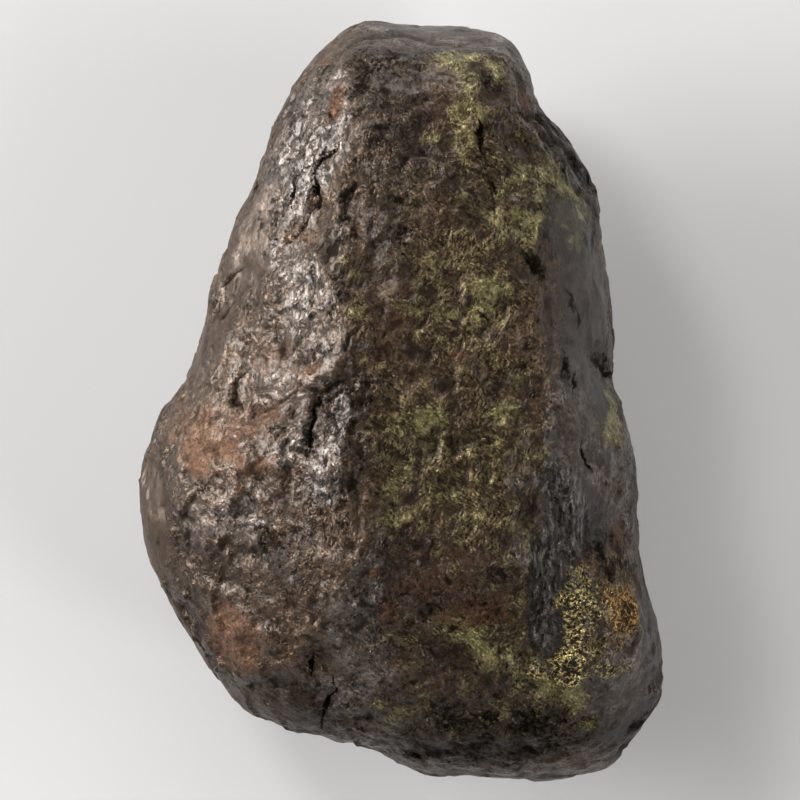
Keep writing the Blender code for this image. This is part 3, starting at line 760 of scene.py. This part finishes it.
def ragged_edge():
    """A mask whose soft border is broken up by a cloud."""
    tree = bpy.data.node_groups.new("ragged_edge", "ShaderNodeTree")
    ins = {"Mask": "NodeSocketFloat", "Cloud": "NodeSocketFloat", "Raggedness": "NodeSocketFloat"}
    given, made = sockets(tree, ins, {"Mask": "NodeSocketFloat"})
    given = given.outputs
    stray = maths(tree, "MULTIPLY", maths(tree, "SUBTRACT", given["Cloud"], 0.5), given["Raggedness"])
    near = fade(tree, given["Mask"], 0.0, 0.15)
    broken = fade(tree, maths(tree, "ADD", given["Mask"], stray), 0.25, 0.7)
    tree.links.new(maths(tree, "MULTIPLY", broken, near), made.inputs[0])
    return tree


def crinkles():
    """Thin winding ridges."""
    tree = bpy.data.node_groups.new("crinkles", "ShaderNodeTree")
    ins = {"Vector": "NodeSocketVector", "Size": "NodeSocketFloat"}
    given, made = sockets(tree, ins, {"Ridge": "NodeSocketFloat"})
    given = given.outputs
    scale = maths(tree, "DIVIDE", 1.0, given["Size"])
    inputs = {"Vector": given["Vector"], "Scale": scale, "Detail": 3.0, "Roughness": 0.65, "Offset": 1.0}
    ridges = add(tree, "ShaderNodeTexNoise", inputs, noise_type="RIDGED_MULTIFRACTAL").outputs["Fac"]
    tree.links.new(ridges, made.inputs[0])
    return tree


def strokes():
    """Short ridges side by side, along a direction."""
    tree = bpy.data.node_groups.new("strokes", "ShaderNodeTree")
    ins = {name: "NodeSocketFloat" for name in ("Direction", "Length", "Width")}
    given, made = sockets(tree, {"Vector": "NodeSocketVector"} | ins, {"Height": "NodeSocketFloat"})
    given = given.outputs
    back = maths(tree, "MULTIPLY", given["Direction"], -1.0)
    inputs = {"Vector": given["Vector"], "Angle": back}
    turned = add(tree, "ShaderNodeVectorRotate", inputs, rotation_type="Z_AXIS").outputs[0]
    across = maths(tree, "DIVIDE", 1.0, given["Width"])
    inputs = {0: maths(tree, "DIVIDE", 1.0, given["Length"]), 1: across, 2: across}
    stretch = add(tree, "ShaderNodeCombineXYZ", inputs).outputs[0]
    height = noise(tree, vector_maths(tree, "MULTIPLY", turned, stretch), 1.0, 3.0, 0.62)
    tree.links.new(height, made.inputs[0])
    return tree


def chipped():
    """Small tilted facets: their height, the gaps between them and a chance value of each."""
    tree = bpy.data.node_groups.new("chipped", "ShaderNodeTree")
    ins = {"Vector": "NodeSocketVector", "Size": "NodeSocketFloat"}
    outs = {"Height": "NodeSocketFloat", "Gap": "NodeSocketFloat", "Chance": "NodeSocketFloat"}
    given, made = sockets(tree, ins, outs)
    given = given.outputs
    scaled = vector_maths(tree, "SCALE", given["Vector"], maths(tree, "DIVIDE", 1.0, given["Size"]))
    height, distance, chance = facets(tree, scaled)
    tree.links.new(maths(tree, "MULTIPLY", height, given["Size"]), made.inputs[0])
    tree.links.new(fade(tree, distance, 0.46, 0.76), made.inputs[1])
    tree.links.new(add(tree, "ShaderNodeSeparateXYZ", {0: chance}).outputs[1], made.inputs[2])
    return tree


def use(tree, node_group, inputs):
    """One use of a node group. Its outputs are read by name."""
    return add(tree, "ShaderNodeGroup", inputs, node_tree=node_group).outputs


def stored(tree, name):
    """A mask that is stored on the skin."""
    return add(tree, "ShaderNodeAttribute", attribute_name=name).outputs["Fac"]


def crust_fields(tree):
    """The noises, facets and strokes that the crust's colours and its relief are made of."""
    place = vector_maths(tree, "SCALE", add(tree, "ShaderNodeTexCoord").outputs["Object"], 1 / MM)
    warped = warp(tree, warp(tree, place, 0.8, 0.9), 2.6, 0.3)
    field = {name: noise(tree, place, *settings) for name, settings in CLOUDS.items()}
    field["other"] = maths(tree, "SUBTRACT", 1.0, field["cloud"])
    field["rock"] = noise(tree, warped, 0.4, 5.0, 0.56)
    field["mottle"] = fade(tree, field["cloud"], 0.36, 0.66)
    field["nodular"] = stored(tree, "nodular")
    stroke = strokes()
    for name, (direction, length, width) in STROKES.items():
        inputs = {"Vector": warped, "Direction": direction, "Length": length, "Width": width}
        field[name] = use(tree, stroke, inputs)["Height"]
    turn = fade(tree, field["region"], 0.40, 0.60)
    field["fibre"] = mix_value(tree, turn, field["falling"], field["rising"])
    field["ridge"] = fade(tree, field["fibre"], 0.40, 0.60)
    field["chips"] = use(tree, chipped(), {"Vector": warped, "Size": CHIP_SIZE})
    field["curl"] = use(tree, crinkles(), {"Vector": warped, "Size": CRINKLE_SIZE})["Ridge"]
    twist = maths(tree, "MULTIPLY_ADD", maths(tree, "SUBTRACT", field["cloud"], 0.5), 1.6, field["curl"])
    field["squiggle"] = product(tree, fade(tree, twist, 0.85, 1.25), fade(tree, field["speck"], 0.40, 0.56))
    return field


def crust_masks(tree, field):
    """Where each finish lies, with ragged borders."""
    edge = ragged_edge()
    mask = {}
    for name, (breaks, raggedness) in BORDERS.items():
        inputs = {"Mask": stored(tree, name), "Cloud": field[breaks], "Raggedness": raggedness}
        mask[name] = use(tree, edge, inputs)["Mask"]
    mask["pale"] = highest(tree, mask["pale"], mask["ashen"])
    mask["gilt"] = highest(tree, mask["gold"], mask["amber"])
    mask["calm"] = maths(tree, "MULTIPLY_ADD", mask["smooth"], -0.75, 1.0)
    return mask


def olive_colour(tree, field):
    """Olive strokes with yellow crests, partly lighter olive and partly painted highlight, and a few painted
    glints.
    """
    green = mix_colour(tree, field["ridge"], COLOURS["olive_dark"], COLOURS["olive"])
    lively = maths(tree, "MULTIPLY_ADD", field["broad"], 0.5, product(tree, field["cloud"], 0.5))
    strands = maths(tree, "MULTIPLY_ADD", field["fibre"], 0.6, product(tree, field["rock"], 0.45))
    lively = maths(tree, "MULTIPLY_ADD", stored(tree, "lemon_highlight"), 0.16, total(tree, lively, strands))
    # The crests: partly lighter olive, partly painted highlight
    crest_tint_and_highlight = fade(tree, lively, 1.02, 1.32)
    green = mix_colour(tree, crest_tint_and_highlight, green, COLOURS["olive_bright"])
    # Painted glints on some crests
    painted_glint_share = product(tree, crest_tint_and_highlight, fade(tree, field["speck"], 0.52, 0.66), 0.7)
    return mix_colour(tree, painted_glint_share, green, COLOURS["olive_painted_glint"])


def rust_colour(tree, field):
    """Rust with bright specks."""
    rust = mix_colour(tree, fade(tree, field["speck"], 0.35, 0.62), COLOURS["rust_dark"], COLOURS["rust"])
    return mix_colour(tree, fade(tree, field["speck"], 0.62, 0.74), rust, COLOURS["rust_bright"])


def folds_with_painted_light(tree, field):
    """Draped folds, with painted shade between them and painted highlights along their crests."""
    draped = mix_colour(tree, fade(tree, field["drape"], 0.40, 0.49), COLOURS["crevice_shade"], COLOURS["violet"])
    return mix_colour(tree, fade(tree, field["drape"], 0.49, 0.62), draped, COLOURS["violet_painted_highlight"])


def gilt_colour(tree, field, mask):
    """Squiggles of gold and amber metal over a dark ground."""
    gold = mix_colour(tree, fade(tree, field["speck"], 0.4, 0.62), COLOURS["gold_dark"], COLOURS["gold_deep"])
    amber = mix_colour(tree, field["mottle"], COLOURS["amber_dark"], COLOURS["amber_deep"])
    ground = mix_colour(tree, mask["amber"], gold, amber)
    metal = mix_colour(tree, mask["amber"], COLOURS["gold"], COLOURS["amber"])
    return mix_colour(tree, field["squiggle"], ground, metal)


def crust_colour(tree, field, mask):
    """The colour of the crust without the painted shade of its hollows, one finish over the other."""
    mottled = product(tree, field["mottle"], field["ridge"], 0.9)
    tone = maths(tree, "MULTIPLY_ADD", field["chips"]["Chance"], 0.4, mottled)

    def toned(name):
        return mix_colour(tree, tone, COLOURS[name + "_dark"], COLOURS[name])

    shade = product(tree, fade(tree, field["broad"], 0.4, 0.62), 0.45)
    colour = mix_colour(tree, shade, toned("brown"), COLOURS["umber_dark"])
    # The grey-violet crust, partly painted sheen
    skin = mix_colour(tree, field["mottle"], COLOURS["violet_dark"], COLOURS["violet"])
    unashen = maths(tree, "MULTIPLY_ADD", mask["ashen"], -0.5, product(tree, mask["violet"], 0.85))
    # Umber and bark are partly painted shade, pale partly painted reflection, the grey-violet skin partly
    # painted sheen, and the folds carry painted shade and painted highlight
    for cover, finish in (
        (mask["umber"], toned("umber")),
        (product(tree, mask["pale"], 0.85), toned("pale")),
        (product(tree, mask["bark"], 0.9), toned("bark")),
        (product(tree, mask["olive"], 0.95), olive_colour(tree, field)),
        (product(tree, mask["rust"], 0.68), rust_colour(tree, field)),
        (unashen, skin),
        (product(tree, mask["folds"], 0.95), folds_with_painted_light(tree, field)),
        (mask["gilt"], gilt_colour(tree, field, mask)),
    ):
        colour = mix_colour(tree, cover, colour, finish)
    return colour


def crack_gaps(tree, field):
    """Where a crack gapes, filled with painted shade. Its ragged edge lies where the distance to its side
    meets its half-width.
    """
    speck, grit = field["speck"], field["grit"]
    stray = maths(tree, "MULTIPLY_ADD", speck, 0.5, product(tree, grit, 0.4))
    side = total(tree, stored(tree, "crack_side"), maths(tree, "SUBTRACT", stray, 0.45))
    reach = product(tree, stored(tree, "crack_reach"), fade(tree, grit, 0.3, 0.7, 0.5, 1.5))
    share = maths(tree, "DIVIDE", maths(tree, "ABSOLUTE", side), reach)
    return product(tree, fade(tree, share, 0.7, 1.1, 1.0, 0.0), stored(tree, "crack"))


def fractures(tree, field):
    """Hairline fractures that follow the middle of the cloud, here and there, filled with painted shade and
    cut into the bump.
    """
    middle = maths(tree, "ABSOLUTE", maths(tree, "SUBTRACT", field["cloud"], 0.5))
    here = fade(tree, field["speck"], 0.46, 0.60)
    ground = fade(tree, field["nodular"], 0.0, 0.8, 0.25, 0.9)
    return product(tree, fade(tree, middle, 0.004, 0.022, 1.0, 0.0), here, ground)


def crust_hollows(tree, field, mask):
    """How deep in painted shade each place lies, in gaps, creases, low ground, fractures, pits and cracks."""
    rock, fibre, calm = field["rock"], field["fibre"], mask["calm"]

    def on_nodules(low, high):
        return fade(tree, field["nodular"], 0.0, 0.9, low, high)

    coarse = fade(tree, field["region"], 0.40, 0.58, 0.15, 1.0)
    speckled = fade(tree, field["speck"], 0.36, 0.62, 0.15, 1.0)
    hollow = highest(
        tree,
        product(tree, field["chips"]["Gap"], on_nodules(0.2, 0.95), speckled, coarse),
        fade(tree, fibre, 0.46, 0.34, 0.0, 0.85),
        product(tree, fade(tree, field["drape"], 0.42, 0.33), on_nodules(0.3, 0.9)),
        product(tree, fade(tree, rock, 0.46, 0.34), on_nodules(0.7, 0.95)),
        fade(tree, stored(tree, "relief"), -0.15, -0.6, 0.0, 0.6),
        field["fracture"],
    )
    return highest(
        tree,
        product(tree, hollow, calm),
        product(tree, stored(tree, "pit"), 0.35),
        # Painted shade in dark patches, deepest in low ground
        product(tree, mask["painted_shade"], fade(tree, rock, 0.62, 0.42, 0.25, 0.95)),
        crack_gaps(tree, field),
    )


def crust_height(tree, field, mask):
    """The crust's fine relief, in millimetres."""
    nodular, chips, gilt = field["nodular"], field["chips"], mask["gilt"]
    crumbly = maths(tree, "MULTIPLY_ADD", nodular, 0.65, 0.35)
    crumbly = product(tree, crumbly, fade(tree, field["region"], 0.38, 0.60, 0.25, 1.4))
    rocky = maths(tree, "MULTIPLY_ADD", nodular, 0.7, 0.7)
    folded = maths(tree, "MULTIPLY_ADD", nodular, 0.45, product(tree, mask["folds"], 1.1))
    height = total(
        tree,
        product(tree, field["grit"], 0.02),
        product(tree, chips["Height"], crumbly, 0.24),
        product(tree, chips["Gap"], crumbly, -0.04),
        product(tree, field["fibre"], mix_value(tree, mask["olive"], 0.06, 0.16)),
        product(tree, field["curl"], gilt, 0.15),
        product(tree, field["rock"], rocky),
        product(tree, field["fracture"], -0.08),
        product(tree, field["drape"], folded),
    )
    return product(tree, height, mask["calm"])


def crust_gloss(tree, field, mask):
    """The crust's roughness, its share of bare metal and its glaze."""
    rough = mix_value(tree, field["chips"]["Chance"], *FACET_ROUGHNESS)
    for name, value in ROUGHNESS.items():
        rough = mix_value(tree, mask[name], rough, value)
    # Hollows are full metal with a near-black colour, so their painted shade keeps no pale veil
    metal = highest(tree, product(tree, mask["gilt"], field["squiggle"]), mask["hollow"])
    metal = highest(tree, metal, mix_value(tree, mask["olive"], BARE_METAL, METAL["olive"]))
    for name in ("bark", "rust", "umber", "pale"):
        metal = highest(tree, metal, product(tree, mask[name], METAL[name]))
    covers = {
        "pale": mask["pale"],
        "dull": highest(tree, mask["smooth"], mask["bark"]),
        "olive": mask["olive"],
        "unglazed": highest(tree, mask["hollow"], mask["rust"]),
    }
    glaze = BARE_GLAZE
    for name, value in GLAZE.items():
        glaze = mix_value(tree, covers[name], glaze, value)
    return rough, metal, glaze


def crust_finish():
    """The stone's weathered iron crust, with painted shade in its hollows and cracks, and painted highlight,
    sheen and reflection in places.
    """
    material = bpy.data.materials.new("iron_crust_finish")
    material.use_nodes = True
    tree = material.node_tree
    shader = tree.nodes["Principled BSDF"]
    field = crust_fields(tree)
    mask = crust_masks(tree, field)
    field["fracture"] = fractures(tree, field)
    mask["hollow"] = crust_hollows(tree, field, mask)
    # Painted shade: hollows, cracks, pits, fractures and dark patches turn near black
    colour = mix_colour(tree, mask["hollow"], crust_colour(tree, field, mask), COLOURS["crevice_shade"])
    rough, metal, glaze = crust_gloss(tree, field, mask)
    height = crust_height(tree, field, mask)
    bump = add(tree, "ShaderNodeBump", {"Strength": 1.0, "Distance": MM, "Height": height})
    for name, value in (
        ("Base Color", colour),
        ("Roughness", rough),
        ("Metallic", metal),
        ("Coat Weight", glaze),
        ("Normal", bump.outputs["Normal"]),
    ):
        tree.links.new(value, shader.inputs[name])
    shader.inputs["Coat Roughness"].default_value = GLAZE_ROUGHNESS
    shader.inputs["IOR"].default_value = GLAZE_IOR
    return material


# ---- Studio


def floor():
    """A plain pale floor."""
    bm = bmesh.new()
    bmesh.ops.create_grid(bm, x_segments=1, y_segments=1, size=FLOOR_SIZE / 2)
    bmesh.ops.translate(bm, verts=bm.verts[:], vec=(0, 0, -FLOOR_GAP))
    mesh = bpy.data.meshes.new("floor")
    bm.to_mesh(mesh)
    bm.free()
    material = bpy.data.materials.new("floor_paint")
    material.use_nodes = True
    shader = material.node_tree.nodes["Principled BSDF"]
    shader.inputs["Base Color"].default_value = FLOOR_COLOUR
    shader.inputs["Roughness"].default_value = FLOOR_ROUGHNESS
    mesh.materials.append(material)
    thing = bpy.data.objects.new("floor", mesh)
    bpy.context.scene.collection.objects.link(thing)


def soft_light(name, direction, elevation, distance, size, radiance):
    """A soft box that faces the stone from a direction and an elevation in degrees. Its power follows from
    its size and its radiance."""
    turn, rise = math.radians(direction), math.radians(elevation)
    away = Vector((math.cos(turn) * math.cos(rise), math.sin(turn) * math.cos(rise), math.sin(rise)))
    light = bpy.data.lights.new(name, "AREA")
    light.shape = "RECTANGLE"
    light.color = LIGHT_COLOUR
    light.size, light.size_y = size
    light.energy = radiance * size[0] * size[1] * math.pi
    lamp = bpy.data.objects.new(name, light)
    lamp.location = Vector((0, 0, RIM_LEVEL)) + away * distance
    lamp.rotation_euler = away.to_track_quat("Z", "Y").to_euler()
    lamp.visible_camera = False
    bpy.context.scene.collection.objects.link(lamp)


def studio():
    """Soft boxes, a room that is pale at the horizon and dim overhead, and a camera straight above."""
    for name, settings in LIGHTS.items():
        soft_light(name, *settings)
    world = bpy.data.worlds.new("room")
    world.use_nodes = True
    tree = world.node_tree
    way = add(tree, "ShaderNodeTexCoord").outputs["Generated"]
    way = add(tree, "ShaderNodeSeparateXYZ", {0: way}).outputs
    upward = fade(tree, way[2], 0.1, 0.85, HORIZON, OVERHEAD)
    strength = product(tree, upward, fade(tree, way[1], -0.9, 0.4, NEAR_SHARE, 1.0))
    tree.links.new(strength, tree.nodes["Background"].inputs["Strength"])
    tree.nodes["Background"].inputs["Color"].default_value = (*LIGHT_COLOUR, 1.0)
    bpy.context.scene.world = world
    lens = bpy.data.cameras.new("camera")
    lens.lens = CAMERA_DISTANCE * lens.sensor_width / VIEW_WIDTH
    lens.clip_start = 0.01
    camera = bpy.data.objects.new("camera", lens)
    camera.location = (*VIEW_CENTRE, RIM_LEVEL + CAMERA_DISTANCE)
    bpy.context.scene.collection.objects.link(camera)
    bpy.context.scene.camera = camera
    bpy.context.scene.view_settings.view_transform = "Standard"


def main():
    stone = smooth_stone()
    surface = BVHTree.FromObject(stone, bpy.context.evaluated_depsgraph_get())
    lay_finishes(stone, surface)
    roughen(stone, crack_guide(surface), crust_finish())
    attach(stone, "root")
    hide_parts("meteorite")
    floor()
    studio()


main()
